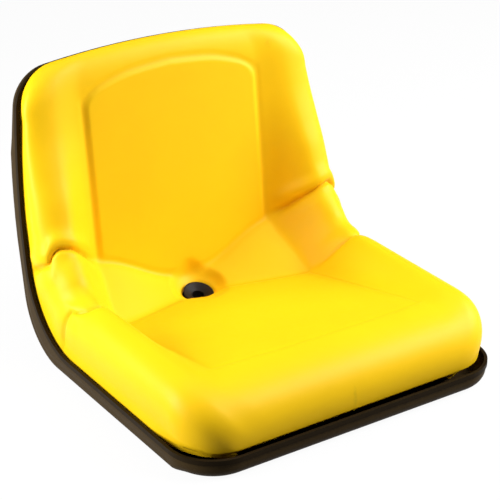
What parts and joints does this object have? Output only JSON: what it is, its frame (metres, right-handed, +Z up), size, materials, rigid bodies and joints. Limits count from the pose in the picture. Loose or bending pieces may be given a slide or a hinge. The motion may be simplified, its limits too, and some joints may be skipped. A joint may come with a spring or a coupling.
{
  "type": "garden tractor bucket seat",
  "caption": "Padded bucket seat with a low reclined back: a one-piece moulded vinyl cushion in a pressed steel pan with rubber edge trim and a drain at the waist.",
  "frame": {"origin": "middle of the four mounting holes, on the underside of the pan", "axes": "+X across the seat, the front of the seat faces -Y, +Z up; the seat is symmetric about the YZ plane"},
  "size_m": [0.4874, 0.5041, 0.41],
  "materials": {
    "vinyl": "yellow grained vinyl skin bonded to moulded foam, satin",
    "pan_paint": "dark brown-black paint, satin",
    "trim_rubber": "dark extruded edging, satin",
    "drain_plastic": "black moulded plastic",
    "nut_steel": "bare steel"
  },
  "bodies": {
    "root": {"cushion": "vinyl", "seat_pan": "pan_paint", "edge_trim": "trim_rubber", "drain_grommet": "drain_plastic", "weld_nuts": "nut_steel"}
  },
  "joints": []
}
